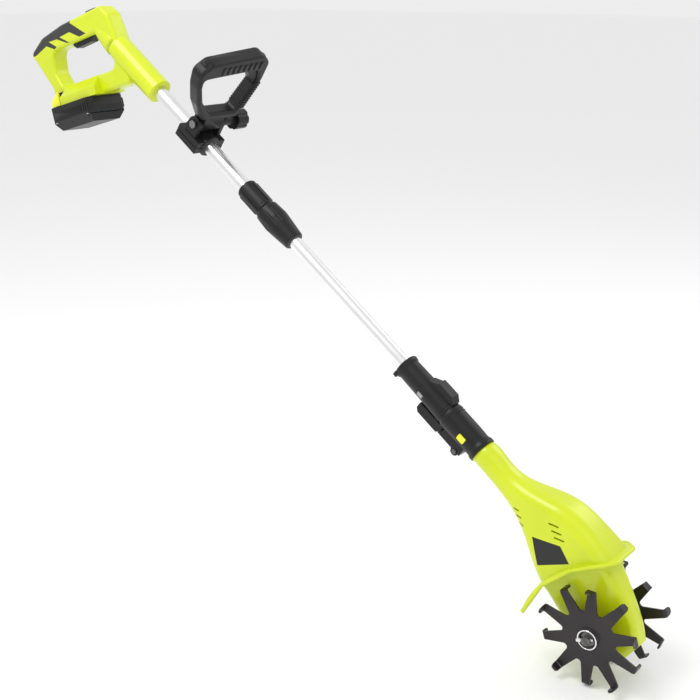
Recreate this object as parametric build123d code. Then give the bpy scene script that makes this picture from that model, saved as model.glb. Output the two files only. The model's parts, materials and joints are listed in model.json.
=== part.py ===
from build123d import *
from math import cos, radians, sin
import os

# Battery mini cultivator with a telescopic shaft, held at its working slope.
# Everything is drawn in a shaft frame: origin on the tine axle midway between the wheels,
# x down the shaft towards the tines, y across to the left side, z square to the shaft on its
# upper side. The last step leans that frame by SHAFT_TILT, so that +Z is up.

# Driving dimensions, in millimetres and degrees
SHAFT_TILT = 35.6
SHAFT_RISE = 44.0
CLEAR = 0.3

UPPER_TUBE_R = 11.0
LOWER_TUBE_R = 9.92
TUBE_WALL = 1.0
UPPER_TUBE_TOP = -1120.0
UPPER_TUBE_END = -748.0
LOWER_TUBE_TOP = -960.0
LOWER_TUBE_END = -398.0

BARREL_MOUTH = -1032.0
BARREL_R = 20.5
HANDLE_ANGLE = 50.7
HANDLE_X = -1133.0
HANDLE_Z = SHAFT_RISE - 85.0
GRIP_HALF = 16.0
HANDLE_WALL = 2.6

BATTERY_REAR = -114.0
BATTERY_FRONT = -3.0
BATTERY_HALF = 37.5
BATTERY_DEPTH = 39.0
BATTERY_SEAM = -20.0
CELL_R = 9.0
CELL_LENGTH = 65.0

CLAMP_X = -926.0
CLAMP_LENGTH = 52.0
PIVOT_Z = SHAFT_RISE + 28.0
LOOP_HALF_DEPTH = 12.0

COLLAR_TOP = -808.0
COLLAR_SEAM = -752.0
COLLAR_END = -689.0

SOCKET_TOP = -436.0
SOCKET_SEAM = -342.0
COUPLING_END = -272.0
LEVER_PIVOT = (-300.0, SHAFT_RISE - 31.0)

HOUSING_WALL = 2.6
GUARD_FOOT = -92.0
GUARD_LEAN = 19.0

WHEEL_Y = 41.0
WHEEL_FOLD_R = 70.0
WHEEL_VALLEY_R = 38.0
FINGERS = 10
PLATE = 2.5
AXLE_R = 6.0
WORM_WHEEL_R = 20.0
WORM_R = 7.0
MOTOR_Z = WORM_WHEEL_R + WORM_R + CLEAR


def in_shaft_frame(shape):
    """Leans a piece from the shaft frame to the working slope."""
    return Rotation(0, SHAFT_TILT, 0) * shape


def rod(radius, x0, x1, z=SHAFT_RISE, y=0.0):
    """Round bar along the shaft, from x0 to x1."""
    bar = Cylinder(radius, x1 - x0, align=(Align.CENTER, Align.CENTER, Align.MIN))
    return Pos(x0, y, z) * (Rotation(0, 90, 0) * bar)


def pipe(outer, inner, x0, x1, z=SHAFT_RISE):
    """Round tube along the shaft, from x0 to x1."""
    return rod(outer, x0, x1, z) - rod(inner, x0 - 1, x1 + 1, z)


def cross_rod(radius, y0, y1, x=0.0, z=0.0):
    """Round bar across the shaft, from y0 to y1."""
    bar = Cylinder(radius, y1 - y0, align=(Align.CENTER, Align.CENTER, Align.MIN))
    return Pos(x, y0, z) * (Rotation(-90, 0, 0) * bar)


def block(x0, x1, y0, y1, z0, z1):
    """Box between two corners."""
    return Pos((x0 + x1) / 2, (y0 + y1) / 2, (z0 + z1) / 2) * Box(x1 - x0, y1 - y0, z1 - z0)


def turned(points, z=SHAFT_RISE):
    """Solid of revolution about a shaft-wise axis; points are (x, radius)."""
    outline = make_face(Polyline(*[(x, 0, r) for x, r in points], close=True))
    return Pos(0, 0, z) * revolve(outline, Axis.X)


def section(x, half, low, high, corner):
    """Rounded rectangle square to the shaft, low and high counted from the shaft axis."""
    plane = Plane(origin=(x, 0, SHAFT_RISE + (low + high) / 2), x_dir=(0, 1, 0), z_dir=(1, 0, 0))
    return plane * RectangleRounded(2 * half, high - low, corner)


def lofted(stations, inset=0.0):
    """Smooth body through rounded sections, each drawn in by inset."""
    rings = []
    for x, half, low, high, corner in stations:
        rings.append(section(x, half - inset, low + inset, high - inset, max(corner - inset, 1.0)))
    return loft(rings)


HANDLE_PLANE = Plane(
    origin=(HANDLE_X, 0, HANDLE_Z),
    x_dir=(cos(radians(HANDLE_ANGLE)), 0, sin(radians(HANDLE_ANGLE))),
    z_dir=(0, -1, 0),
)


def handle_block(a0, a1, y0, y1, b0, b1):
    """Box in handle coordinates: a forwards along the battery, b up from it, y across."""
    box = Pos((a0 + a1) / 2, (b0 + b1) / 2, -(y0 + y1) / 2) * Box(a1 - a0, b1 - b0, y1 - y0)
    return HANDLE_PLANE.location * box


def handle_rod(radius, a, b, y0, y1):
    """Round bar across the handle at handle coordinates a, b."""
    bar = Cylinder(radius, y1 - y0, align=(Align.CENTER, Align.CENTER, Align.MIN))
    return HANDLE_PLANE.location * (Pos(a, b, -y1) * bar)


def to_handle(x, z):
    """Handle coordinates of a shaft-frame point."""
    c, s = cos(radians(HANDLE_ANGLE)), sin(radians(HANDLE_ANGLE))
    return (x - HANDLE_X) * c + (z - HANDLE_Z) * s, -(x - HANDLE_X) * s + (z - HANDLE_Z) * c


# Side outline of the closed-loop rear handle, in handle coordinates
NOSE_TOP = to_handle(-1150.0, SHAFT_RISE + 20.0)
HANDLE_OUTLINE = [
    (-120, 0), (-119, 34), (-147, 84), (-158, 101), (-118, 120), (-60, 128),
    (48, 132), (63, 116), NOSE_TOP, (83, 1),
]
HANDLE_CORNERS = [8, 20, 24, 9, 30, 60, 10, 14, 20, 8]
OPENING_OUTLINE = [(-90, 31), (-103, 58), (-97, 92), (36, 94), (55, 72), (52, 31)]
OPENING_CORNERS = [14, 20, 16, 14, 20, 14]
GRIP_PAD = [
    (-175, 94), (-140, 96), (-108, 104), (-88, 94.5), (-81, 97), (-99, 109), (-76, 108),
    (-53, 97), (-44, 95), (-67, 109.5), (-39, 111), (-16, 98), (2, 99), (-32, 124), (-34, 142), (-175, 142),
]
PAD_THICKNESS = 1.6
SLOT_HALF = 24.0
SLOT_TOP = 10.6


def rounded_polygon(points, radii):
    """Closed face with its own rounding at each corner."""
    return make_face(FilletPolyline(*points, radius=radii, close=True))


def handle_prism(points, y0, y1):
    """Straight-edged plate in handle coordinates, from y0 to y1."""
    face = make_face(Polyline(*points, close=True))
    return HANDLE_PLANE.location * (Pos(0, 0, -y1) * extrude(face, y1 - y0))


def handle_plate(half, grow=0.0, rounding=0.0):
    """Loop-handle plate of the given half thickness, its outline grown by grow."""
    outer = rounded_polygon(HANDLE_OUTLINE, HANDLE_CORNERS)
    inner = rounded_polygon(OPENING_OUTLINE, OPENING_CORNERS)
    if grow:
        outer = offset(outer, grow, kind=Kind.INTERSECTION)
        inner = offset(inner, -grow, kind=Kind.INTERSECTION)
    plate = extrude(outer - inner, half, both=True)
    if rounding:
        rims = plate.edges().filter_by_position(Axis.Z, half - 0.01, half + 0.01)
        rims += plate.edges().filter_by_position(Axis.Z, -half - 0.01, -half + 0.01)
        plate = fillet(rims, rounding)
    return HANDLE_PLANE.location * plate


def halves(shape, span=60.0):
    """Right (-y) and left (+y) halves of a shape, parted on the middle plane."""
    right = block(-1500, 300, -span, 0, -400, 400)
    left = block(-1500, 300, 0, span, -400, 400)
    return shape & right, shape & left


def biggest(shape):
    """Largest solid of a shape."""
    return shape.solids().sort_by(SortBy.VOLUME)[-1]


HANDLE_SCREWS = [(-130, 92), (-113, 48), (-66, 112), (50, 110), (64, 56), (12, 22), (-79, 22)]


def handle_screw(a, b):
    """Screw that joins the handle halves, set in from the left side."""
    return handle_rod(3.0, a, b, 13.0, 15.0) + handle_rod(1.4, a, b, -6.0, 13.0)


def make_handle():
    """Both halves of the rear handle, and the soft grip let into them."""
    barrel = turned([(-1146, 0), (-1146, BARREL_R), (BARREL_MOUTH - 2, BARREL_R),
                     (BARREL_MOUTH, BARREL_R - 2), (BARREL_MOUTH, 0)])
    opening = extrude(rounded_polygon(OPENING_OUTLINE, OPENING_CORNERS), 40, both=True)
    barrel -= HANDLE_PLANE.location * opening
    foot_low = HANDLE_PLANE.location * (Plane(origin=(-38, 14, 0), x_dir=(1, 0, 0), z_dir=(0, 1, 0))
                                        * Rectangle(96, 61))
    foot_high = HANDLE_PLANE.location * (Plane(origin=(-38, 31, 0), x_dir=(1, 0, 0), z_dir=(0, 1, 0))
                                         * Rectangle(88, 26))
    foot = handle_block(-86, 10, -30.5, 30.5, 0, 14) + loft([foot_low, foot_high])
    pad_zone = handle_prism(GRIP_PAD, -30, 30)
    plate = handle_plate(GRIP_HALF, rounding=6.0)
    core = handle_plate(GRIP_HALF - PAD_THICKNESS, grow=-PAD_THICKNESS, rounding=4.8)
    pad = (plate & pad_zone) - core
    shell = plate + barrel + foot
    shell -= handle_plate(GRIP_HALF - HANDLE_WALL, grow=-HANDLE_WALL - 0.6)
    for a, b in HANDLE_SCREWS:
        shell += handle_rod(4.4, a, b, -14.0, 14.0)
        shell -= handle_rod(3.0, a, b, 15.0, 40.0) + handle_screw(a, b)
        pad -= handle_rod(3.1, a, b, 5.0, 40.0)
    shell -= handle_block(-130, -86, -40, 40, -2, 25)
    shell -= handle_block(-90, -8, -SLOT_HALF, SLOT_HALF, -1, SLOT_TOP)
    shell -= handle_block(-90, 12, -35, 35, -1, 0.4)
    shell -= pad
    shell -= rod(UPPER_TUBE_R + 0.05, -1146, BARREL_MOUTH + 1)
    shell -= handle_block(-50, 14, -7.6, 7.6, 88, 100)
    shell -= handle_block(1, 29, -7.6, 7.6, 122, 140)
    shell += handle_rod(2.0, 7, 99, -14, 14)
    right, left = halves(shell)
    return biggest(right), biggest(left), pad


def make_trigger():
    """Finger trigger, hinged at its front end."""
    outline = [(11, 104), (-45, 102), (-47, 90), (-40, 84.5), (0, 86), (11, 93)]
    paddle = handle_prism(outline, -7, 7)
    return paddle - handle_rod(2.1, 7, 99, -8, 8)


def make_spring(turns=5, height=9.0, radius=3.0, wire=0.45):
    """Small coil spring standing on the trigger's free end."""
    path = Helix(height / turns, height, radius)
    start = Plane(origin=path @ 0, z_dir=path % 0)
    coil = sweep(start * Circle(wire), path=path)
    upright = HANDLE_PLANE.location * (Pos(-40, 103, 0) * Rotation(-90, 0, 0))
    return upright * coil


def make_lock_button():
    """Lock-off button on top of the grip, with its stem."""
    cap = handle_block(2, 28, -7, 7, 129, 134)
    cap = fillet(cap.edges(), 1.2)
    return cap + handle_block(8, 22, -5, 5, 122, 131)


def make_switch():
    """Power switch above the trigger."""
    return handle_block(-34, 0, -8, 8, 109, 121) + handle_block(-24, -8, -4, 4, 107, 109)


def make_board():
    """Control board in the lower bar, with its large parts."""
    board = handle_block(-70, 4, -12, 12, 15, 16.6)
    board += handle_block(-62, -46, -8, 8, 16.6, 21)
    board += handle_block(-20, -2, -9, 9, 16.6, 20)
    can = HANDLE_PLANE.location * (Pos(-33, 16.6, 0) * (Rotation(-90, 0, 0) * Cylinder(
        5, 9, align=(Align.CENTER, Align.CENTER, Align.MIN))))
    return board + can


def make_terminals():
    """Terminal block at the front of the battery slot, with two contact blades."""
    carrier = handle_block(-13.5, -8.2, -19, 19, 1, SLOT_TOP - 0.2)
    blades = []
    for y in (-9.0, 9.0):
        blades.append(handle_block(-34, -13.5, y - 0.5, y + 0.5, 3, 8.5))
    return carrier, Compound(children=blades)


def make_battery():
    """Sliding battery pack: two case halves, cells, contacts' slots, lamps and screws."""
    length = BATTERY_FRONT - BATTERY_REAR
    middle = (BATTERY_FRONT + BATTERY_REAR) / 2
    case = handle_block(BATTERY_REAR, BATTERY_FRONT, -BATTERY_HALF, BATTERY_HALF, -BATTERY_DEPTH, 0)
    bevel = [(-BATTERY_HALF, -24), (-BATTERY_HALF + 10.5, -BATTERY_DEPTH), (-BATTERY_HALF - 20, -BATTERY_DEPTH - 5)]
    for side in (-1, 1):
        wedge = Polyline(*[(BATTERY_REAR - 20, b, side * y) for y, b in bevel], close=True)
        cut = extrude(make_face(wedge), length + 40, dir=(1, 0, 0))
        case -= HANDLE_PLANE.location * cut
    for a, lean in ((BATTERY_REAR, 1), (BATTERY_FRONT, -1)):
        nose = [(a - lean, -13), (a - lean, -BATTERY_DEPTH - 1), (a + lean * 12, -BATTERY_DEPTH - 1)]
        case -= handle_prism(nose, -60, 60)
        for side in (-1, 1):
            corner = [(a - lean, side * (BATTERY_HALF + 1)), (a + lean * 9, side * (BATTERY_HALF + 1)),
                      (a - lean, side * (BATTERY_HALF - 9))]
            face = make_face(Polyline(*[(u, -60, w) for u, w in corner], close=True))
            case -= HANDLE_PLANE.location * extrude(face, 120, dir=(0, 1, 0))
    room = handle_block(BATTERY_REAR + 5, BATTERY_FRONT - 5, -33.4, 33.4, -27, -3)
    room += handle_block(BATTERY_REAR + 18, BATTERY_FRONT - 18, -22, 22, -36, -26)
    shell = case - room
    lower = shell & handle_block(-200, 100, -60, 60, -100, BATTERY_SEAM)
    upper = shell & handle_block(-200, 100, -60, 60, BATTERY_SEAM, 20)
    rail = handle_block(-88, -14.5, -SLOT_HALF + 4.5, SLOT_HALF - 4.5, 0, 4)
    rail += handle_block(-88, -14.5, -SLOT_HALF + 0.5, SLOT_HALF - 0.5, 4, SLOT_TOP - 0.6)
    tower = handle_prism([(BATTERY_REAR, -3), (BATTERY_REAR, 13), (-103, 22), (-88.4, 22), (-88.4, -3)], -24, 24)
    upper += rail + tower
    for y in (-9.0, 9.0):
        upper -= handle_block(-40, -14, y - 1.2, y + 1.2, 2, 9.4)
    upper -= handle_block(-103, -90, -24.5, -17, 3, 15) + handle_block(-103, -90, 17, 24.5, 3, 15)
    for y in (-4, 3, 10):
        upper -= handle_lamp_bore(1.6, y, 3.0)
    upper -= handle_lamp_bore(4.2, -12, 5.0)
    cells = []
    for k in (-2, -1, 0, 1, 2):
        cells.append(handle_rod(CELL_R, middle + 19.2 * k, -16.5, -CELL_LENGTH / 2, CELL_LENGTH / 2))
    lamps = [handle_lamp(1.5, y, -0.2, 2.6) for y in (-4, 3, 10)]
    screws = []
    for a in (BATTERY_REAR + 12, BATTERY_FRONT - 12):
        for y in (-35.3, 35.3):
            lower -= battery_rod(2.4, a, y, -BATTERY_DEPTH - 9, -25) + battery_rod(1.35, a, y, -26, BATTERY_SEAM + 1)
            upper -= battery_rod(1.35, a, y, BATTERY_SEAM - 1, -10)
            screws.append(battery_rod(2.2, a, y, -26.8, -25.05) + battery_rod(1.3, a, y, -25.1, -11))
    gauge = handle_lamp(4.0, -12, -0.6, 3.0)
    return biggest(lower), biggest(upper), cells, lamps, screws, gauge


def handle_lamp_bore(radius, y, depth):
    """Round pocket in the battery's rear face."""
    return handle_lamp(radius, y, -1.0, depth)


def handle_lamp(radius, y, start, end):
    """Round peg set lengthwise into the battery's rear face."""
    peg = Cylinder(radius, end - start, align=(Align.CENTER, Align.CENTER, Align.MIN))
    return HANDLE_PLANE.location * (Pos(BATTERY_REAR + start, 7, -y) * (Rotation(0, 90, 0) * peg))


def battery_rod(radius, a, y, b0, b1):
    """Upright round bar in the battery, from b0 to b1."""
    bar = Cylinder(radius, b1 - b0, align=(Align.CENTER, Align.CENTER, Align.MIN))
    return HANDLE_PLANE.location * (Pos(a, b0, -y) * (Rotation(-90, 0, 0) * bar))


def release_button(side):
    """Wedge-shaped side button that frees the battery; side is -1 (right) or 1 (left)."""
    y0, y1 = sorted((side * 27.0, side * 30.0))
    wedge = handle_prism([(-113, 2), (-110, 12), (-90, 24), (-89, 2)], y0, y1)
    s0, s1 = sorted((side * 20.0, side * 27.5))
    return wedge + handle_block(-101, -92, s0, s1, 4.5, 13.5)


def make_collar():
    """Fixed half of the telescopic lock, and its turning sleeve."""
    body = turned([(COLLAR_TOP, 0), (COLLAR_TOP, 14.5), (COLLAR_TOP + 2, 16), (COLLAR_SEAM - 8, 16),
                   (COLLAR_SEAM - 8, 13.2), (COLLAR_SEAM + 26, 13.2), (COLLAR_SEAM + 26, 0)])
    body -= rod(UPPER_TUBE_R + 0.02, COLLAR_TOP - 1, UPPER_TUBE_END)
    body -= rod(LOWER_TUBE_R + 0.06, UPPER_TUBE_END - 1, COLLAR_SEAM + 40)
    for k in range(8):
        rib = block(COLLAR_TOP + 6, COLLAR_SEAM - 12, -1.1, 1.1, 15.2, 17.2)
        body += Pos(0, 0, SHAFT_RISE) * (Rotation(45 * k, 0, 0) * rib)
    sleeve = turned([(COLLAR_SEAM - 7.5, 0), (COLLAR_SEAM - 7.5, 16), (COLLAR_SEAM - 4, 18.5),
                     (COLLAR_SEAM + 18, 20), (COLLAR_SEAM + 30, 19), (COLLAR_END - 2, 15.5),
                     (COLLAR_END, 14), (COLLAR_END, 0)])
    sleeve -= rod(13.5, COLLAR_SEAM - 8, COLLAR_SEAM + 27)
    sleeve -= rod(LOWER_TUBE_R + 0.4, COLLAR_SEAM + 26, COLLAR_END + 1)
    for k in range(12):
        flute = rod(2.6, COLLAR_SEAM + 2, COLLAR_END - 6, z=21.2)
        sleeve -= Pos(0, 0, SHAFT_RISE) * (Rotation(30 * k, 0, 0) * flute)
    wedge = turned([(COLLAR_SEAM + 27, 0), (COLLAR_SEAM + 27, 13), (COLLAR_SEAM + 40, 11.4), (COLLAR_SEAM + 40, 0)])
    wedge -= rod(LOWER_TUBE_R + 0.06, COLLAR_SEAM + 25, COLLAR_SEAM + 41)
    wedge -= block(COLLAR_SEAM + 26, COLLAR_SEAM + 41, -0.8, 0.8, SHAFT_RISE, SHAFT_RISE + 20)
    sleeve -= turned([(COLLAR_SEAM + 26, 0), (COLLAR_SEAM + 26, 13.5), (COLLAR_SEAM + 27, 13.5),
                      (COLLAR_SEAM + 41, 11.8), (COLLAR_SEAM + 41, 0)])
    return body, sleeve, wedge


def make_clamp():
    """Clamp that carries the loop handle: saddle with two ears, cap, screws and pivot bolt."""
    x0, x1 = CLAMP_X - CLAMP_LENGTH / 2, CLAMP_X + CLAMP_LENGTH / 2
    saddle = turned([(x0, 0), (x0, 16), (x0 + 2, 17.5), (x1 - 2, 17.5), (x1, 16), (x1, 0)])
    cap = saddle & block(x0 - 5, x1 + 5, -40, 40, SHAFT_RISE - 40, SHAFT_RISE - 0.6)
    cap += block(x0 + 2, x1 - 2, -28, 28, SHAFT_RISE - 10, SHAFT_RISE - 0.6)
    saddle += block(x0 + 2, x1 - 2, -28, 28, SHAFT_RISE + 0.6, SHAFT_RISE + 10)
    saddle = saddle & block(x0 - 5, x1 + 5, -40, 40, SHAFT_RISE + 0.6, SHAFT_RISE + 60)
    for y0, y1 in ((-27, -20), (20, 27)):
        saddle += cross_rod(12, y0, y1, CLAMP_X, PIVOT_Z)
        saddle += block(CLAMP_X - 12, CLAMP_X + 12, y0, y1, SHAFT_RISE + 8, PIVOT_Z)
    saddle -= block(CLAMP_X - 15, CLAMP_X + 15, -20, 20, PIVOT_Z - 12.5, PIVOT_Z + 20)
    saddle -= cross_rod(3.2, -30, 30, CLAMP_X, PIVOT_Z)
    bore = rod(UPPER_TUBE_R + 0.05, x0 - 1, x1 + 1)
    saddle -= bore
    cap -= bore
    screws = []
    for side in (-1, 1):
        for x in (CLAMP_X - 18, CLAMP_X + 18):
            saddle -= Pos(x, side * 22.5, SHAFT_RISE + 3) * Cylinder(2.0, 10)
            cap -= Pos(x, side * 22.5, SHAFT_RISE - 6) * Cylinder(2.2, 20)
            cap -= Pos(x, side * 22.5, SHAFT_RISE - 9) * Cylinder(3.8, 6)
            screw = Pos(x, side * 22.5, SHAFT_RISE - 0.5) * Cylinder(1.9, 13)
            screws.append(screw + Pos(x, side * 22.5, SHAFT_RISE - 8.4) * Cylinder(3.5, 4))
    bolt = cross_rod(3.2, -31, 62, CLAMP_X, PIVOT_Z)
    head = Pos(CLAMP_X, -31, PIVOT_Z) * (Rotation(-90, 0, 0) * extrude(RegularPolygon(6.5, 6), 4))
    return saddle, cap, screws, bolt + head


LOOP_OUTER = [(-26, 42), (-50, 72), (-66, 104), (-73, 130), (-56, 147), (42, 160), (62, 146), (63, 114), (46, 42)]
LOOP_OUTER_R = [5, 30, 40, 16, 14, 16, 14, 30, 6]
LOOP_INNER = [(-16, 55), (-41, 77), (-56, 105), (-59, 119), (-44, 121), (44, 131), (53, 112), (36, 55)]
LOOP_INNER_R = [10, 20, 14, 6, 8, 9, 14, 8]


def make_loop():
    """Loop handle with its tongue between the ears of the clamp, and the tightening knob."""
    plane = Plane(origin=(CLAMP_X, 0, SHAFT_RISE), x_dir=(0, 1, 0), z_dir=(1, 0, 0))
    outline = rounded_polygon(LOOP_OUTER, LOOP_OUTER_R) - rounded_polygon(LOOP_INNER, LOOP_INNER_R)
    half = LOOP_HALF_DEPTH
    frame = extrude(outline, half, both=True)
    rims = frame.edges().filter_by_position(Axis.Z, half - 0.01, half + 0.01)
    rims += frame.edges().filter_by_position(Axis.Z, -half - 0.01, -half + 0.01)
    frame = plane.location * fillet(rims, 3.5)
    frame += cross_rod(12, -19.7, 19.7, CLAMP_X, PIVOT_Z)
    frame += block(CLAMP_X - 12, CLAMP_X + 12, -19.7, 19.7, PIVOT_Z, SHAFT_RISE + 47)
    frame -= cross_rod(3.25, -30, 30, CLAMP_X, PIVOT_Z)
    knob = cross_rod(8, 27.4, 55, CLAMP_X, PIVOT_Z) + cross_rod(16, 54.5, 76, CLAMP_X, PIVOT_Z)
    for k in range(6):
        scallop = cross_rod(5, 50, 80, CLAMP_X + 19.5, PIVOT_Z)
        centre = Pos(CLAMP_X, 0, PIVOT_Z)
        knob -= centre * (Rotation(0, 60 * k, 0) * (centre.inverse() * scallop))
    knob -= cross_rod(3.25, 20, 64, CLAMP_X, PIVOT_Z)
    return frame, knob


def make_coupling():
    """Socket on the lower tube, and the plug with its sleeve that carries the head."""
    socket = turned([(SOCKET_TOP, 0), (SOCKET_TOP, 17.5), (SOCKET_TOP + 2, 19), (SOCKET_TOP + 6, 18.6),
                     (SOCKET_TOP + 10, 16.8), (SOCKET_TOP + 50, 17.5), (SOCKET_SEAM - 4, 18.5),
                     (SOCKET_SEAM - 0.4, 18.5), (SOCKET_SEAM - 0.4, 0)])
    hump = block(-392, SOCKET_SEAM - 1, -8, 8, SHAFT_RISE + 12, SHAFT_RISE + 28)
    slope = Plane(origin=(0, 0, 0), x_dir=(1, 0, 0), z_dir=(0, -1, 0))
    ramp = Polyline((-393, SHAFT_RISE + 17), (-376, SHAFT_RISE + 26.5), (-400, SHAFT_RISE + 40), close=True)
    ramp2 = Polyline((-352, SHAFT_RISE + 29), (-340, SHAFT_RISE + 18), (-330, SHAFT_RISE + 40), close=True)
    hump -= extrude(slope * make_face(ramp), 20, both=True)
    hump -= extrude(slope * make_face(ramp2), 20, both=True)
    socket += hump
    for side in (-1, 1):
        y0, y1 = sorted((side * 12.0, side * 18.0))
        socket += block(SOCKET_TOP, SOCKET_TOP + 6, y0, y1, SHAFT_RISE - 14, SHAFT_RISE - 7)
    socket -= rod(LOWER_TUBE_R, SOCKET_TOP - 1, LOWER_TUBE_END)
    socket -= rod(8.5, LOWER_TUBE_END - 1, -391)
    socket -= rod(14.05, -391, SOCKET_SEAM + 1)
    socket -= block(-384, SOCKET_SEAM + 1, -8.4, 8.4, SHAFT_RISE - 40, SHAFT_RISE - 16)
    tube_pin = cross_rod(2.0, -15, 15, -418, SHAFT_RISE)
    socket -= tube_pin
    plug = turned([(SOCKET_SEAM, 0), (SOCKET_SEAM, 18.5), (SOCKET_SEAM + 3, 19.5), (-300, 19.5), (-282, 18.8),
                   (-277, 20.6), (COUPLING_END, 20.6), (COUPLING_END, 15), (-250, 15), (-250, 0)])
    plug += rod(14.0, -390, SOCKET_SEAM + 1)
    plug -= rod(10.5, -391, -249)
    lug = block(-331, -291, -9, 9, SHAFT_RISE - 31, SHAFT_RISE - 14)
    lug += cross_rod(6.6, -9, 9, *LEVER_PIVOT)
    lug -= block(-345, -292.4, -5.4, 5.4, SHAFT_RISE - 45, SHAFT_RISE - 20.0)
    lug -= rod(18.5, -343, -300)
    plug += lug
    plug -= cross_rod(2.05, -12, 12, *LEVER_PIVOT)
    plug -= block(-308.4, -294.6, -21, -13.5, SHAFT_RISE - 5.4, SHAFT_RISE + 5.4)
    return socket, plug, tube_pin


def make_lever():
    """Over-centre lever that locks the coupling, with its pivot pin."""
    x, z = LEVER_PIVOT
    arm = block(-382, -334, -8, 8, SHAFT_RISE - 34, SHAFT_RISE - 19.4)
    arm = chamfer(arm.edges().filter_by(Axis.Y).group_by(Axis.Z)[0], 5)
    arm += block(-336, x, -5, 5, z - 3.0, z + 5.5) + cross_rod(5.5, -5, 5, x, z)
    arm -= rod(19.9, -420, -300)
    arm -= cross_rod(2.0, -12, 12, x, z)
    pin = cross_rod(2.0, -9.4, 9, x, z) + cross_rod(3.6, -10.8, -9.35, x, z)
    return arm, pin


def make_coupling_button():
    """Small catch button in the side of the sleeve."""
    button = block(-307.8, -295.2, -19.6, -15.5, SHAFT_RISE - 4.8, SHAFT_RISE + 4.8)
    return fillet(button.edges().filter_by(Axis.Y), 1.5)


HOUSING_STATIONS = [
    (-271.8, 18.2, -18.2, 18.2, 17.6), (-235, 18.5, -18.5, 18.5, 17.6), (-200, 21, -19, 23, 17),
    (-165, 27, -25, 40, 18), (-135, 30, -40, 53, 20), (-100, 31, -58, 57, 20), (-40, 31, -66, 50, 18),
]
GEARBOX_STATIONS = [
    (-92, 28, -62, 46, 12), (-74, 24, -66, 46, 12), (-45, 23.5, -73, 36, 12), (-10, 18, -78, 22, 10),
    (20, 16, -78, 6, 9), (48, 11, -60, -14, 7),
]
GUARD_PROFILE = [(-82, -98), (-90, -60), (-87, -15), (-76, 15), (-59, 44), (-40, 66)]


def ahead_of_guard(shift=0.0):
    """Everything on the tine side of the guard's curved sheet."""
    points = [(x + shift, SHAFT_RISE + z) for x, z in GUARD_PROFILE]
    plane = Plane(origin=(0, 0, 0), x_dir=(1, 0, 0), z_dir=(0, -1, 0))
    first, last = points[0], points[-1]
    edge = Spline(*points)
    rest = Polyline(last, (last[0] + 20, last[1] + 80), (300, 200), (300, -200), (first[0], -200), first)
    return extrude(plane * make_face([edge, rest]), 80, both=True)


def side_face(points):
    """Prism through both sides of the head, drawn in x and z counted from the shaft axis."""
    plane = Plane(origin=(0, 0, 0), x_dir=(1, 0, 0), z_dir=(0, -1, 0))
    outline = Polyline(*[(x, SHAFT_RISE + z) for x, z in points], close=True)
    return extrude(plane * make_face(outline), 60, both=True)


def slot(x, z, lean, length=13.0, width=2.4):
    """Vent slot through both sides of the head."""
    cutter = Box(length, 80, width)
    return Pos(x, 0, SHAFT_RISE + z) * (Rotation(0, lean, 0) * cutter)


def make_head_case():
    """Motor housing halves, guard, gearbox halves, labels and their screws."""
    outer = lofted(HOUSING_STATIONS)
    skin = outer - lofted(HOUSING_STATIONS, 0.6)
    label_zone = side_face([(-142, -12), (-111, -37), (-84, 5), (-108, 13)])
    behind = outer - ahead_of_guard()
    labels = (skin - ahead_of_guard()) & label_zone
    cavity = lofted([(-271.8, 18.2, -18.2, 18.2, 17.6)] + HOUSING_STATIONS[1:], HOUSING_WALL)
    bore = rod(15.0, -280, -250)
    shell = behind - cavity - bore
    for x, z in ((-132.5, 27), (-123.5, 22.5), (-115, 18.5)):
        shell -= slot(x, z, -31, 15)
    for x, z in ((-182, -6), (-173, -10), (-163.5, -15)):
        shell -= slot(x, z, -28, 9)
    bosses = []
    screws = []
    for x, z in ((-205, -6), (-152, 34), (-150, -22), (-96, 44), (-104, -46)):
        half = 12 if x < -200 else 26
        bosses.append(cross_rod(4.0, -half, half, x, SHAFT_RISE + z) & behind)
        screws.append(cross_rod(2.8, half - 4, half - 2, x, SHAFT_RISE + z)
                      + cross_rod(1.4, -6, half - 4, x, SHAFT_RISE + z))
    for boss in bosses:
        shell += boss
    for x, z in ((-205, -6), (-152, 34), (-150, -22), (-96, 44), (-104, -46)):
        half = 12 if x < -200 else 26
        shell -= cross_rod(3.0, half - 4.05, 60, x, SHAFT_RISE + z)
        shell -= cross_rod(1.45, -6.1, half, x, SHAFT_RISE + z)
    shell -= labels
    right, left = halves(shell)
    return biggest(right), biggest(left), labels, screws


def make_guard():
    """Flared guard between the housing and the tines."""
    sheet = ahead_of_guard() - ahead_of_guard(3.0)
    plane = Plane(origin=(-200, 0, 0), x_dir=(0, 1, 0), z_dir=(1, 0, 0))
    points = [(-46, -98), (-47, -40), (-47, 12), (-42, 45), (-26, 58), (26, 58), (42, 45), (47, 12), (47, -40),
              (46, -98), (43, -98), (37, -72), (27, -61), (-27, -61), (-37, -72), (-43, -98)]
    radii = [1, 40, 30, 14, 14, 14, 14, 30, 40, 1, 1, 12, 8, 8, 12, 1]
    outline = rounded_polygon([(y, SHAFT_RISE + z) for y, z in points], radii)
    guard = sheet & extrude(plane * outline, 260)
    guard -= block(-110, -30, -20, 20, SHAFT_RISE - 52, SHAFT_RISE + 34)
    return guard


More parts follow.
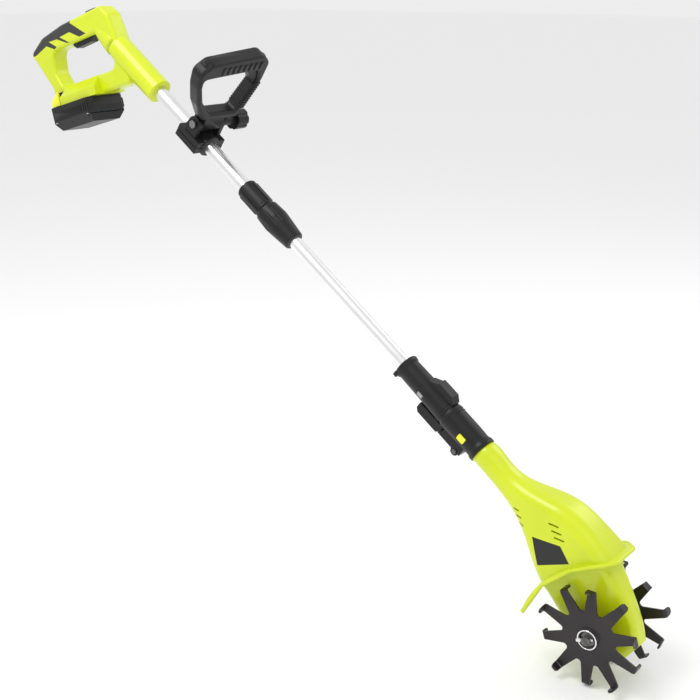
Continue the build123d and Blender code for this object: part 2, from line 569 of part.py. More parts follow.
def make_gearbox():
    """Gearbox halves, axle bushes, motor bearing and assembly screws."""
    case = lofted(GEARBOX_STATIONS) & ahead_of_guard(3.0)
    neck = block(-96, -40, -20, 20, SHAFT_RISE - 52, SHAFT_RISE + 34)
    neck = neck & (lofted(HOUSING_STATIONS, 5) + lofted(GEARBOX_STATIONS))
    case += neck
    room = lofted(GEARBOX_STATIONS, HOUSING_WALL) & block(-60, 60, -40, 40, -60, 90)
    room -= block(-62, 60, -40, 40, -60, -24)
    case -= room
    boss = cross_rod(13, -17, -8.5) + cross_rod(13, 8.5, 17)
    nose = block(24, 34, -9, 9, MOTOR_Z - 10, MOTOR_Z + 9)
    case += (boss + nose) & lofted(GEARBOX_STATIONS, 0.8)
    case += block(-72, -56, -19, 19, MOTOR_Z - 14, MOTOR_Z + 14)
    case -= cross_rod(9.0, -30, 30)
    case -= cross_rod(WORM_WHEEL_R + 0.6, -6.6, 6.6)
    case -= rod(WORM_R + 0.6, -30, 24, MOTOR_Z)
    case -= rod(3.6, -100, 24, MOTOR_Z)
    case -= rod(6.05, 24, 31, MOTOR_Z)
    case -= rod(6.05, -100, -64, MOTOR_Z)
    case -= rod(19.05, -140, -79.9, MOTOR_Z)
    bushes = []
    for y0, y1 in ((-24, -9.5), (9.5, 24)):
        bushes.append(cross_rod(9.0, y0, y1) - cross_rod(AXLE_R + 0.05, y0 - 1, y1 + 1))
    bearings = []
    for x0, x1 in ((-70.8, -64), (24, 30.8)):
        bearings.append(pipe(6.0, 3.05, x0, x1, MOTOR_Z))
    screws = []
    for x, z in ((-60, 70), (-42, -20), (30, -18), (-2, 46)):
        case -= cross_rod(1.45, -6.1, 9, x, z)
        case -= cross_rod(3.0, 6.95, 60, x, z)
        screws.append(cross_rod(2.8, 7, 9.2, x, z) + cross_rod(1.4, -6, 7, x, z))
    right, left = halves(case)
    return biggest(right), biggest(left), bushes, bearings, screws


def make_motor():
    """Motor can, armature, shaft with its worm, and cooling fan."""
    can = pipe(19.0, 17.4, -134, -80, MOTOR_Z)
    can += pipe(17.4, 3.3, -134, -132, MOTOR_Z) + pipe(17.4, 3.3, -82, -80, MOTOR_Z)
    magnets = []
    for side in (-1, 1):
        ring = pipe(17.4, 15.0, -126, -88, MOTOR_Z)
        y0, y1 = sorted((side * 4.0, side * 20.0))
        magnets.append(ring & block(-130, -80, y0, y1, MOTOR_Z - 12, MOTOR_Z + 12))
    shaft = rod(3.0, -146, 31, MOTOR_Z)
    worm = rod(WORM_R, -20, 20, MOTOR_Z) - rod(3.0, -30, 30, MOTOR_Z)
    for k in range(9):
        worm -= pipe(WORM_R + 1, WORM_R - 1.6, -18 + 4.4 * k, -16 + 4.4 * k, MOTOR_Z)
    core = pipe(14.4, 3.0, -122, -92, MOTOR_Z)
    for k in range(12):
        groove = rod(1.2, -123, -91, 13.8)
        core -= Pos(0, 0, MOTOR_Z) * (Rotation(30 * k, 0, 0) * groove)
    fan = pipe(6.0, 3.0, -144, -137, MOTOR_Z)
    for k in range(9):
        blade = Rotation(0, 0, 24) * Box(6, 0.9, 8.4)
        fan += Pos(0, 0, MOTOR_Z) * (Rotation(40 * k, 0, 0) * (Pos(-140.5, 0, 9.6) * blade))
    return can, magnets, shaft, worm, core, fan


def wheel_outline():
    """Flat star of ten fingers, in x and z, first finger at 18 degrees."""
    star = Circle(WHEEL_FOLD_R)
    pitch = 360.0 / FINGERS
    mouth = make_face(Polyline((42.4, -4.4), (76, -18.6), (76, 18.6), (42.4, 4.4), close=True))
    for k in range(FINGERS):
        star -= Rot(0, 0, pitch * k) * (Pos(42.4, 0, 0) * Circle(4.4))
        star -= Rot(0, 0, pitch * k) * mouth
    return star


def make_wheel(side):
    """Tine wheel of folded plate; side is -1 (right) or 1 (left)."""
    plane = Plane(origin=(0, 0, 0), x_dir=(1, 0, 0), z_dir=(0, -1, 0))
    plate = Pos(0, side * WHEEL_Y, 0) * extrude(plane * wheel_outline(), PLATE / 2, both=True)
    for k in range(FINGERS):
        out = 1 if k % 2 else -1
        near, far = WHEEL_Y - PLATE / 2, WHEEL_Y + 14.5
        if out < 0:
            near, far = WHEEL_Y - 14.5, WHEEL_Y + PLATE / 2
        y0, y1 = sorted((side * near, side * far))
        tab = block(WHEEL_FOLD_R - 3.0, WHEEL_FOLD_R, y0, y1, -5.4, 5.4)
        claw = block(WHEEL_FOLD_R - 1.0, WHEEL_FOLD_R + 3.0, *sorted((side * (far if out > 0 else near),
                     side * (far - 2.2 if out > 0 else near + 2.2))), -5.4, 5.4)
        angle = 18 + 360.0 / FINGERS * k
        plate += Rotation(0, -angle, 0) * (tab + claw)
    return plate - cross_rod(AXLE_R, -80, 80)


def make_axle():
    """Tine axle, worm wheel, hubs and the two hitch pins."""
    axle = cross_rod(AXLE_R, -52, 52)
    wheel = cross_rod(WORM_WHEEL_R, -6, 6) - cross_rod(AXLE_R, -10, 10)
    for k in range(36):
        tooth = Pos(0, 0, WORM_WHEEL_R + 0.3) * Cylinder(0.9, 30, rotation=(90, 0, 0))
        wheel -= Rotation(0, 10 * k, 0) * tooth
    hubs = []
    pins = []
    for side in (-1, 1):
        inner = cross_rod(10, *sorted((side * 24.6, side * 36.0)))
        flange = cross_rod(15, *sorted((side * 36.0, side * (WHEEL_Y - PLATE / 2))))
        cap = cross_rod(9.5, *sorted((side * (WHEEL_Y + PLATE / 2), side * 43.8)))
        hub = inner + flange - cross_rod(AXLE_R, -80, 80)
        hubs.append((hub, cap - cross_rod(AXLE_R, -80, 80)))
        y = side * 46.9
        needle = Pos(0, y, 0) * (Rotation(0, 35, 0) * Cylinder(1.7, 19))
        head = Pos(0, y, 0) * (Rotation(0, 35, 0) * (Pos(0, 0, -11.6) * Cylinder(2.8, 6)))
        ring = Pos(0, y, 0) * (Rotation(90, 0, 0) * Torus(13, 1.0))
        pins.append(needle + head + ring)
        axle -= Pos(0, y, 0) * (Rotation(0, 35, 0) * Cylinder(1.75, 19))
    return axle, wheel, hubs, pins


def save(name, shape):
    """Writes one sub-part, leaned to the working slope."""
    if isinstance(shape, list):
        shape = Compound(children=[Part() + piece for piece in shape])
    export_step(in_shaft_frame(shape), f"parts/{name}.step")


os.makedirs("parts", exist_ok=True)

handle_right, handle_left, pad = make_handle()
terminal_block, terminal_blades = make_terminals()
save("handle_shell_right", handle_right)
save("handle_shell_left", handle_left)
save("grip_overmould", pad)
save("handle_screws", [handle_screw(a, b) for a, b in HANDLE_SCREWS])
save("power_switch", make_switch())
save("control_board", make_board())
save("terminal_block", terminal_block)
save("terminal_blades", terminal_blades)
save("trigger", make_trigger())
save("trigger_spring", make_spring())
save("lock_off_button", make_lock_button())

battery_lower, battery_upper, cells, lamps, battery_screws, gauge = make_battery()
save("battery_case_lower", battery_lower)
save("battery_case_upper", battery_upper)
save("battery_cells", cells)
save("battery_lamps", lamps)
save("battery_screws", battery_screws)
save("gauge_button", gauge)
save("release_button_right", release_button(-1))
save("release_button_left", release_button(1))

save("upper_tube", pipe(UPPER_TUBE_R, UPPER_TUBE_R - TUBE_WALL, UPPER_TUBE_TOP, UPPER_TUBE_END))
lower_tube = pipe(LOWER_TUBE_R, LOWER_TUBE_R - TUBE_WALL, LOWER_TUBE_TOP, LOWER_TUBE_END)
socket, plug, tube_pin = make_coupling()
save("lower_tube", lower_tube - tube_pin)
save("tube_pin", tube_pin)
save("coupling_socket", socket)
save("coupling_sleeve", plug)
lever, lever_pin = make_lever()
save("coupling_lever", lever)
save("lever_pin", lever_pin)
save("coupling_button", make_coupling_button())

collar, lock_sleeve, wedge = make_collar()
save("collar_body", collar)
save("collar_wedge", wedge)
save("lock_sleeve", lock_sleeve)

saddle, cap, clamp_screws, bolt = make_clamp()
save("clamp_saddle", saddle)
save("clamp_cap", cap)
save("clamp_screws", clamp_screws)
save("loop_bolt", bolt)
loop, knob = make_loop()
save("loop_handle", loop)
save("loop_knob", knob)

case_right, case_left, labels, case_screws = make_head_case()
save("motor_housing_right", case_right)
save("motor_housing_left", case_left)
save("side_labels", labels)
save("housing_screws", case_screws)
save("tine_guard", make_guard())
gear_right, gear_left, bushes, bearings, gear_screws = make_gearbox()
save("gearbox_right", gear_right)
save("gearbox_left", gear_left)
save("axle_bushes", bushes)
save("shaft_bearings", bearings)
save("gearbox_screws", gear_screws)

can, magnets, motor_shaft, worm, core, fan = make_motor()
save("motor_can", can)
save("motor_magnets", magnets)
save("motor_shaft", motor_shaft)
save("worm", worm)
save("motor_core", core)
save("cooling_fan", fan)

axle, worm_wheel, hubs, pins = make_axle()
save("tine_axle", axle)
save("worm_wheel", worm_wheel)
for side, name in ((-1, "right"), (1, "left")):
    save(f"wheel_hub_{name}", hubs[(side + 1) // 2][0])
    save(f"tine_wheel_{name}", make_wheel(side))
save("hub_washers", [washer for hub, washer in hubs])
save("hitch_pins", pins)
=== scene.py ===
import json
import math

import bmesh
import bpy
from mathutils import Matrix, Vector


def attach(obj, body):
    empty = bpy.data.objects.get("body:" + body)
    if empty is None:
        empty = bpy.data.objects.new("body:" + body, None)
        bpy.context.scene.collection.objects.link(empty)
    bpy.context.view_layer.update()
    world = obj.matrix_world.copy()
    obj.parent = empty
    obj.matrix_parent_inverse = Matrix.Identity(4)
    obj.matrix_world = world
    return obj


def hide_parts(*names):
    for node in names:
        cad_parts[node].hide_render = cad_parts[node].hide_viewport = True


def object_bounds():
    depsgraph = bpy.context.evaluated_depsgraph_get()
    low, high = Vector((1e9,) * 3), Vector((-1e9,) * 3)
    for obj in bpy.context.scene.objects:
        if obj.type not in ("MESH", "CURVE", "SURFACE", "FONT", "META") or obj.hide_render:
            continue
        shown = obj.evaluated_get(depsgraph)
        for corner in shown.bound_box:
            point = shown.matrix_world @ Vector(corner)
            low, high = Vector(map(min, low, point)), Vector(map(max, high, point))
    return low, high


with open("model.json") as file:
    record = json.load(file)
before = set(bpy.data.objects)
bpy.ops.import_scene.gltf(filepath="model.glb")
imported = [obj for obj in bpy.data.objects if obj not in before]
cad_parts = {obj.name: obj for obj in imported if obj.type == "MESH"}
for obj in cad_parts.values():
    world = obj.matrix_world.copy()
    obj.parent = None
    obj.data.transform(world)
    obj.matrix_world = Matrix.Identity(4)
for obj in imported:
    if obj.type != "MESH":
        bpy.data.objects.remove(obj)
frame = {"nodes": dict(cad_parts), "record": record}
CAD_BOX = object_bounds()
NODES = frame["nodes"]

# Layout, in millimetres in the shaft frame: x down the shaft, y to the left, z square to it
TILT = math.radians(35.6)
RISE = 44.0
HANDLE_ANGLE = math.radians(50.7)
HANDLE_X = -1133.0
HANDLE_Z = RISE - 85.0


def at(x, y, z):
    """Row-frame point, in metres, of a shaft-frame point in millimetres."""
    c, s = math.cos(TILT), math.sin(TILT)
    return Vector(((x * c + z * s) / 1000, y / 1000, (-x * s + z * c) / 1000))


def grip(a, y, b):
    """Row-frame point of a handle point: a forwards along the battery, b up from it."""
    c, s = math.cos(HANDLE_ANGLE), math.sin(HANDLE_ANGLE)
    return at(HANDLE_X + a * c - b * s, y, HANDLE_Z + a * s + b * c)


# ---------------------------------------------------------------- materials


def noise(nodes, links, coords, scale, detail=4.0, rough=0.55):
    """Noise texture on object coordinates, scale in cells a metre."""
    tex = nodes.new("ShaderNodeTexNoise")
    tex.inputs["Scale"].default_value = scale
    tex.inputs["Detail"].default_value = detail
    tex.inputs["Roughness"].default_value = rough
    links.new(coords.outputs["Object"], tex.inputs["Vector"])
    return tex


def surface(name, dark, light, rough=(0.3, 0.4), metal=0.0, grain=900.0, bump=0.15, depth=0.0004,
            mottle=14.0, coat=0.0, edge_highlight=None, sheen=0.0, specular=0.5):
    """Procedural material: mottled colour, uneven gloss, fine grain, and an optional painted highlight: a lighter
    colour on convex edges.
    """
    mat = bpy.data.materials.new(name)
    mat.use_nodes = True
    nodes, links = mat.node_tree.nodes, mat.node_tree.links
    shader = nodes["Principled BSDF"]
    shader.inputs["Metallic"].default_value = metal
    shader.inputs["Coat Weight"].default_value = coat
    shader.inputs["Coat Roughness"].default_value = 0.12
    shader.inputs["Sheen Weight"].default_value = sheen
    shader.inputs["Specular IOR Level"].default_value = specular
    coords = nodes.new("ShaderNodeTexCoord")
    broad = noise(nodes, links, coords, mottle, 3.0)
    ramp = nodes.new("ShaderNodeValToRGB")
    ramp.color_ramp.elements[0].position = 0.3
    ramp.color_ramp.elements[1].position = 0.7
    ramp.color_ramp.elements[0].color = (*dark, 1)
    ramp.color_ramp.elements[1].color = (*light, 1)
    links.new(broad.outputs["Fac"], ramp.inputs["Fac"])
    colour = ramp.outputs["Color"]
    if edge_highlight:
        # Painted highlight: a pale grey mixed onto convex edges by pointiness stands in for edge highlights.
        geometry = nodes.new("ShaderNodeNewGeometry")
        edge = nodes.new("ShaderNodeValToRGB")
        edge.color_ramp.elements[0].position = 0.56
        edge.color_ramp.elements[1].position = 0.66
        links.new(geometry.outputs["Pointiness"], edge.inputs["Fac"])
        mix = nodes.new("ShaderNodeMix")
        mix.data_type = "RGBA"
        mix.inputs["B"].default_value = (*edge_highlight, 1)
        links.new(colour, mix.inputs["A"])
        links.new(edge.outputs["Color"], mix.inputs["Factor"])
        colour = mix.outputs["Result"]
    links.new(colour, shader.inputs["Base Color"])
    gloss = nodes.new("ShaderNodeMapRange")
    gloss.inputs["To Min"].default_value = rough[0]
    gloss.inputs["To Max"].default_value = rough[1]
    patchy = noise(nodes, links, coords, mottle * 5, 5.0)
    links.new(patchy.outputs["Fac"], gloss.inputs["Value"])
    links.new(gloss.outputs["Result"], shader.inputs["Roughness"])
    if bump:
        fine = noise(nodes, links, coords, grain, 6.0, 0.6)
        relief = nodes.new("ShaderNodeBump")
        relief.inputs["Strength"].default_value = bump
        relief.inputs["Distance"].default_value = depth
        links.new(fine.outputs["Fac"], relief.inputs["Height"])
        links.new(relief.outputs["Normal"], shader.inputs["Normal"])
    return mat


def drawn_metal(name, colour, rough=0.22):
    """Bright drawn tube: fine lengthwise lines under a clear finish."""
    mat = surface(name, [c * 0.93 for c in colour], colour, (rough, rough + 0.1), 1.0, 1500, 0.05)
    nodes, links = mat.node_tree.nodes, mat.node_tree.links
    coords = nodes.new("ShaderNodeTexCoord")
    lean = nodes.new("ShaderNodeMapping")
    lean.inputs["Rotation"].default_value = (0, -TILT, 0)
    lean.inputs["Scale"].default_value = (6, 900, 900)
    links.new(coords.outputs["Object"], lean.inputs["Vector"])
    lines = nodes.new("ShaderNodeTexNoise")
    lines.inputs["Scale"].default_value = 1.0
    lines.inputs["Detail"].default_value = 3.0
    links.new(lean.outputs["Vector"], lines.inputs["Vector"])
    relief = nodes.new("ShaderNodeBump")
    relief.inputs["Strength"].default_value = 0.12
    relief.inputs["Distance"].default_value = 0.0002
    links.new(lines.outputs["Fac"], relief.inputs["Height"])
    links.new(relief.outputs["Normal"], nodes["Principled BSDF"].inputs["Normal"])
    return mat


LIME = surface("lime shell", (0.56, 0.66, 0.004), (0.62, 0.72, 0.006), (0.24, 0.34), coat=0.2, grain=1400,
               bump=0.06)
LIME_BUTTON = surface("lime button", (0.78, 0.78, 0.02), (0.86, 0.84, 0.03), (0.3, 0.4), grain=1400,
                      bump=0.08)
BLACK = surface("black shell", (0.006, 0.006, 0.006), (0.011, 0.011, 0.011), (0.32, 0.46), grain=1200,
                bump=0.22, specular=0.3)
SATIN = surface("black satin", (0.005, 0.005, 0.005), (0.009, 0.009, 0.009), (0.24, 0.34), grain=1500,
                bump=0.1, specular=0.3)
RUBBER = surface("soft grip", (0.005, 0.005, 0.005), (0.010, 0.010, 0.010), (0.5, 0.65), grain=2200,
                 bump=0.35, sheen=0.2)
# Black enamel for the tines, with a painted highlight on their edges.
STEEL_BLACK = surface("black enamel", (0.018, 0.014, 0.016), (0.032, 0.026, 0.029), (0.28, 0.42), 0.35, 1100, 0.12,
                      edge_highlight=(0.20, 0.19, 0.19))
TUBE = drawn_metal("bright tube", (0.90, 0.90, 0.91))
STEEL = surface("zinc steel", (0.42, 0.43, 0.45), (0.6, 0.61, 0.63), (0.25, 0.4), 1.0, 1600, 0.1)
CHROME = surface("bright wire", (0.80, 0.81, 0.83), (0.88, 0.89, 0.9), (0.06, 0.14), 1.0, 1600, 0.04)
BRASS = surface("machined brass", (0.6, 0.45, 0.18), (0.75, 0.58, 0.26), (0.2, 0.35), 1.0, 1500, 0.1)
BOARD = surface("solder mask", (0.02, 0.16, 0.05), (0.04, 0.25, 0.09), (0.25, 0.4), 0.0, 1500, 0.15)
CELL = surface("cell wrap", (0.05, 0.22, 0.42), (0.08, 0.3, 0.55), (0.25, 0.35), 0.0, 1500, 0.05)
LAMP = surface("lamp diffuser", (0.85, 0.85, 0.82), (0.95, 0.95, 0.92), (0.3, 0.4), 0.0, 1500, 0.05)
LABEL = surface("label film", (0.003, 0.003, 0.003), (0.006, 0.006, 0.006), (0.18, 0.26), 0.0, 1500, 0.03,
                coat=0.3, specular=0.3)
MAGNET = surface("magnet", (0.1, 0.1, 0.11), (0.16, 0.16, 0.17), (0.5, 0.6), 0.2, 1500, 0.2)

BY_SLOT = {
    "lime_plastic": LIME, "lime_button": LIME_BUTTON, "soft_grip": RUBBER, "black_plastic": BLACK,
    "silver_tube": TUBE, "black_steel": STEEL_BLACK, "bright_pin": CHROME, "steel": STEEL,
    "magnet": MAGNET, "board_green": BOARD, "contact_brass": BRASS, "cell_wrap": CELL,
    "lamp_white": LAMP, "label_black": LABEL,
}
NODE_SLOT = {part["node"]: part["material_slot"] for part in frame["record"]["subparts"]}
for node, obj in NODES.items():
    for material_slot in obj.material_slots:
        material_slot.link = "OBJECT"
        material_slot.material = BY_SLOT[NODE_SLOT[node]]
for node in ("loop_bolt", "tine_axle", "lever_pin"):
    NODES[node].material_slots[0].material = STEEL_BLACK

# ---------------------------------------------------------------- mesh helpers


def solid(name, verts, faces, mat, body, bevel=0.0):
    """Mesh piece that rides on a body."""
    mesh = bpy.data.meshes.new(name)
    mesh.from_pydata([tuple(v) for v in verts], [], faces)
    mesh.update()
    work = bmesh.new()
    work.from_mesh(mesh)
    bmesh.ops.remove_doubles(work, verts=work.verts, dist=1e-6)
    bmesh.ops.recalc_face_normals(work, faces=work.faces)
    work.to_mesh(mesh)
    work.free()
    obj = bpy.data.objects.new(name, mesh)
    bpy.context.collection.objects.link(obj)
    mesh.materials.append(mat)
    for polygon in mesh.polygons:
        polygon.use_smooth = True
    if bevel:
        mod = obj.modifiers.new("rounding", "BEVEL")
        mod.width = bevel
        mod.segments = 2
        mod.limit_method = "ANGLE"
        mod.angle_limit = math.radians(30)
        mod.harden_normals = True
    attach(obj, body)
    return obj


def rings_to_mesh(rings):
    """Vertices and faces of a closed skin through rings of equally many points."""
    count = len(rings[0])
    verts = [p for ring in rings for p in ring]
    faces = []
    for i in range(len(rings) - 1):
        for j in range(count):
            k = (j + 1) % count
            faces.append((i * count + j, i * count + k, (i + 1) * count + k, (i + 1) * count + j))
    faces.append(tuple(range(count))[::-1])
    last = (len(rings) - 1) * count
    faces.append(tuple(last + j for j in range(count)))
    return verts, faces


def plate(name, outlines, half, place, mat, body, bevel=0.0003, segments=2):
    """Flat plate with rounded edges from closed outlines in millimetres; place puts a flat point in the row frame."""
    curve = bpy.data.curves.new(name, "CURVE")
    curve.dimensions = "2D"
    curve.fill_mode = "BOTH"
    for outline in outlines:
        line = curve.splines.new("POLY")
        line.points.add(len(outline) - 1)
        for point, (u, v) in zip(line.points, outline):
            point.co = (u / 1000, v / 1000, 0, 1)
        line.use_cyclic_u = True
    curve.extrude = half / 1000 - bevel
    curve.bevel_depth = bevel
    curve.bevel_resolution = segments
    curve.offset = -bevel
    holder = bpy.data.objects.new(name + "_outline", curve)
    bpy.context.collection.objects.link(holder)
    bpy.context.view_layer.update()
    mesh = bpy.data.meshes.new_from_object(holder)
    bpy.data.objects.remove(holder)
    for vertex in mesh.vertices:
        vertex.co = place(vertex.co.x * 1000, vertex.co.y * 1000, vertex.co.z * 1000)
    obj = bpy.data.objects.new(name, mesh)
    bpy.context.collection.objects.link(obj)
    mesh.materials.clear()
    mesh.materials.append(mat)
    work = bmesh.new()
    work.from_mesh(mesh)
    bmesh.ops.remove_doubles(work, verts=work.verts, dist=1e-6)
    bmesh.ops.recalc_face_normals(work, faces=work.faces)
    work.to_mesh(mesh)
    work.free()
    for polygon in mesh.polygons:
        polygon.use_smooth = False
    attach(obj, body)
    return obj


def rounded(points, radii, steps=8):
    """Outline with arcs in place of its corners."""
    out = []
    count = len(points)
    for i, ((px, py), radius) in enumerate(zip(points, radii)):
        before = Vector(points[i - 1]) - Vector((px, py))
        after = Vector(points[(i + 1) % count]) - Vector((px, py))
        turn = before.angle(after)
        cut = min(radius / math.tan(turn / 2), before.length * 0.48, after.length * 0.48)
        start = Vector((px, py)) + before.normalized() * cut
        end = Vector((px, py)) + after.normalized() * cut
        for k in range(steps + 1):
            t = k / steps
            mid = Vector((px, py))
            out.append(tuple(start * (1 - t) ** 2 + mid * 2 * t * (1 - t) + end * t ** 2))
    return out


def smooth_path(points, per=8):
    """Catmull-Rom points through a list of tuples of any length."""
    out = []
    count = len(points)
    for i in range(count - 1):
        a, b, c, d = (points[max(0, min(count - 1, i + k))] for k in (-1, 0, 1, 2))
        for s in range(per):
            t = s / per
            out.append(tuple(
                0.5 * (2 * q + (r - p) * t + (2 * p - 5 * q + 4 * r - w) * t * t + (3 * q - p - 3 * r + w) * t ** 3)
                for p, q, r, w in zip(a, b, c, d)))
    out.append(tuple(points[-1]))
    return out


def oval(width, height, power=2.4, count=28):
    """Superellipse outline."""
    pts = []
    for k in range(count):
        t = 2 * math.pi * k / count
        c, s = math.cos(t), math.sin(t)
        pts.append((width * math.copysign(abs(c) ** (2 / power), c), height * math.copysign(abs(s) ** (2 / power), s)))
    return pts


# ---------------------------------------------------------------- tine wheels

WHEEL_Y = 41.0
PITCH = 2 * math.pi / 10
FIRST = math.radians(18)


def star():
    """Outline of the flat part of a tine wheel, tips cut where the folds begin."""
    pts = []
    for k in range(10):
        theta = FIRST + PITCH * k
        for r, w in ((66.0, -5.7), (66.6, 0.0), (66.0, 5.7)):
            pts.append((r * math.cos(theta) - w * math.sin(theta), r * math.sin(theta) + w * math.cos(theta)))
        mid = theta + PITCH / 2
        for s in range(13):
            phi = mid - math.pi / 2 - 0.35 - (math.pi - 0.7) * s / 12
            pts.append((42.4 * math.cos(mid) + 4.6 * math.cos(phi), 42.4 * math.sin(mid) + 4.6 * math.sin(phi)))
    return pts


def folded_tip(k, side, out):
    """Rings of one folded finger tip: bend, tab and curled claw."""
    theta = FIRST + PITCH * k
    path = [(64.0, 0.0, 5.9), (66.0, 0.0, 5.8)]
    for s in range(1, 6):
        phi = math.pi / 2 * s / 5
        path.append((66.0 + 2.7 * math.sin(phi), 2.7 * (1 - math.cos(phi)), 5.7))
    path += [(68.7, 7.0, 5.5), (68.7, 10.4, 5.2)]
    for s in range(1, 5):
        phi = math.pi / 2 * s / 4 * 0.8
        path.append((68.7 + 2.6 * (1 - math.cos(phi)), 10.4 + 2.6 * math.sin(phi), 5.2 - 0.5 * s))
    rings = []
    for i, (r, t, w) in enumerate(path):
        r0, t0, _ = path[max(0, i - 1)]
        r1, t1, _ = path[min(len(path) - 1, i + 1)]
        run = Vector((r1 - r0, t1 - t0)).normalized()
        thick = 1.25 if i < len(path) - 3 else 1.25 - 0.3 * (i - len(path) + 4)
        ring = []
        for dw, dn in ((-w, -thick), (w, -thick), (w, thick), (-w, thick)):
            rr, tt = r - run.y * dn, t + run.x * dn
            x = rr * math.cos(theta) - dw * math.sin(theta)
            z = rr * math.sin(theta) + dw * math.cos(theta)
            ring.append(at(x, side * (WHEEL_Y + out * tt), z))
        rings.append(ring)
    return rings


def tine_wheel(side, name):
    """Wheel of ten folded fingers on one side."""
    wheel = plate(name, [star()], 1.25, lambda u, v, w: at(u, side * WHEEL_Y + w, v), STEEL_BLACK, "tines",
                  0.0003)
    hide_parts(name)
    for k in range(10):
        verts, faces = rings_to_mesh(folded_tip(k, side, TAB_SENSE[side][k]))
        solid(f"{name}_tip_{k}", verts, faces, STEEL_BLACK, "tines", 0.0004)
    return wheel


TAB_SENSE = {side: [1 if k % 2 else -1 for k in range(10)] for side in (-1, 1)}
tine_wheel(-1, "tine_wheel_right")
tine_wheel(1, "tine_wheel_left")

# ---------------------------------------------------------------- loop handle

CLAMP_X = -926.0
LOOP_OUTER = [(-26, 42), (-50, 72), (-66, 104), (-73, 130), (-56, 147), (42, 160), (62, 146), (63, 114), (46, 42)]
LOOP_OUTER_R = [5, 30, 40, 16, 14, 16, 14, 30, 6]
LOOP_INNER = [(-16, 55), (-41, 77), (-56, 105), (-59, 119), (-44, 121), (44, 131), (53, 112), (36, 55)]
LOOP_INNER_R = [10, 20, 14, 6, 8, 9, 14, 8]


def loop_at(u, v, w):
    """Row-frame point of the loop handle's own plane: u to the left, v away from the shaft, w down it."""
    return at(CLAMP_X + w, u, RISE + v)


loop = plate("loop_frame", [rounded(LOOP_OUTER, LOOP_OUTER_R), rounded(LOOP_INNER, LOOP_INNER_R)], 11.9,
             loop_at, BLACK, "loop", 0.0052, 5)
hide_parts("loop_handle")


def loop_bar():
    """Thick grip along the top of the loop, with finger grooves across its lower side."""
    rings = []
    steps = 120
    for i in range(steps + 1):
        t = i / steps
        u = -64 + 118 * t
        v = 134.5 + 11.0 * t + 1.2 * math.sin(math.pi * t)
        swell = 1 - 0.35 * abs(2 * t - 1) ** 6
        groove = 0.0
        if 0.24 < t < 0.97:
            groove = 1.5 * max(0.0, math.cos(2 * math.pi * (t - 0.29) * 9.1)) ** 2
        ring = []
        for a, b in oval(12.6 * swell, 12.9 * swell, 2.5, 32):
            low = max(0.0, min(1.0, 0.45 - b / 14))
            shrink = 1 - groove * low / 12
            ring.append(loop_at(u - 0.08 * b * shrink, v + b * shrink, a * shrink * 0.95))
        rings.append(ring)
    verts, faces = rings_to_mesh(rings)
    return solid("loop_grip_bar", verts, faces, BLACK, "loop")


loop_bar()


def loop_ridges():
    """Ridges round the straight arm."""
    for n in range(12):
        t = n / 11
        a, b = Vector((38.6 + 13.6 * t, 62 + 45 * t)), Vector((52.0 + 10.3 * t, 62 + 45 * t))
        across = (b - a).normalized()
        along = Vector((0.26, 0.965))
        rings = []
        for s, grow in ((-1.7, -0.4), (-0.9, 0.9), (0.9, 0.9), (1.7, -0.4)):
            p, q = a - across * grow + along * s, b + across * grow + along * s
            w = 11.9 + grow
            ring = []
            for u, v in ((p, -w + 3), (p + across * 2.4, -w), (q - across * 2.4, -w), (q, -w + 3),
                         (q, w - 3), (q - across * 2.4, w), (p + across * 2.4, w), (p, w - 3)):
                ring.append(loop_at(u.x, u.y, v))
            rings.append(ring)
        verts, faces = rings_to_mesh(rings)
        solid(f"loop_ridge_{n}", verts, faces, BLACK, "loop", 0.0003)


loop_ridges()
tongue = [(-19.6, 18), (-19.6, 50), (19.6, 50), (19.6, 18)]
rings = []
for w, cut in ((-11.8, 8), (-9, 3), (0, 0), (9, 3), (11.8, 8)):
    rings.append([loop_at(u, max(v, 17 + cut), w) for u, v in rounded(tongue, [1.5] * 4, 3)])
verts, faces = rings_to_mesh(rings)
solid("loop_tongue", verts, faces, BLACK, "loop", 0.0006)
gusset = []
for w in (-7.5, 7.5):
    gusset.append([loop_at(u, v, w) for u, v in rounded([(26, 130), (54, 132), (52.5, 100)], [3, 5, 3], 4)])
verts, faces = rings_to_mesh(gusset)
solid("loop_gusset", verts, faces, BLACK, "loop", 0.001)

# ---------------------------------------------------------------- loop handle grip pads

for n in range(8):
    t = 0.30 + 0.62 * n / 7
    u, v = -64 + 118 * t, 134.5 + 11.0 * t
    for face in (-1, 1):
        rings = []
        for w, s in ((10.4, 1.0), (12.4, 1.0), (13.6, 0.78)):
            outline = rounded([(u - 3.1 * s, v - 10.5 * s), (u + 3.3 * s, v - 10.0 * s), (u + 2.6 * s, v + 3.5 * s),
                               (u - 3.8 * s, v + 3.0 * s)], [1.6] * 4, 4)
            rings.append([loop_at(p, q, face * w) for p, q in outline])
        verts, faces = rings_to_mesh(rings)
        solid(f"loop_pad_{'up' if face < 0 else 'down'}_{n}", verts, faces, BLACK, "loop", 0.0003)

# ---------------------------------------------------------------- guard rim

GUARD_CURVE = [(-98.0, -82.0), (-60.0, -90.0), (-15.0, -87.0), (15.0, -76.0), (44.0, -59.0), (66.0, -40.0)]


def guard_x(z):
    """Station of the guard's rear face at a height over the shaft axis."""
    path = smooth_path(GUARD_CURVE, 12)
    for (z0, x0), (z1, x1) in zip(path, path[1:]):
        if z0 <= z <= z1:
            return x0 + (x1 - x0) * (z - z0) / (z1 - z0)
    return path[-1][1] if z > path[-1][0] else path[0][1]


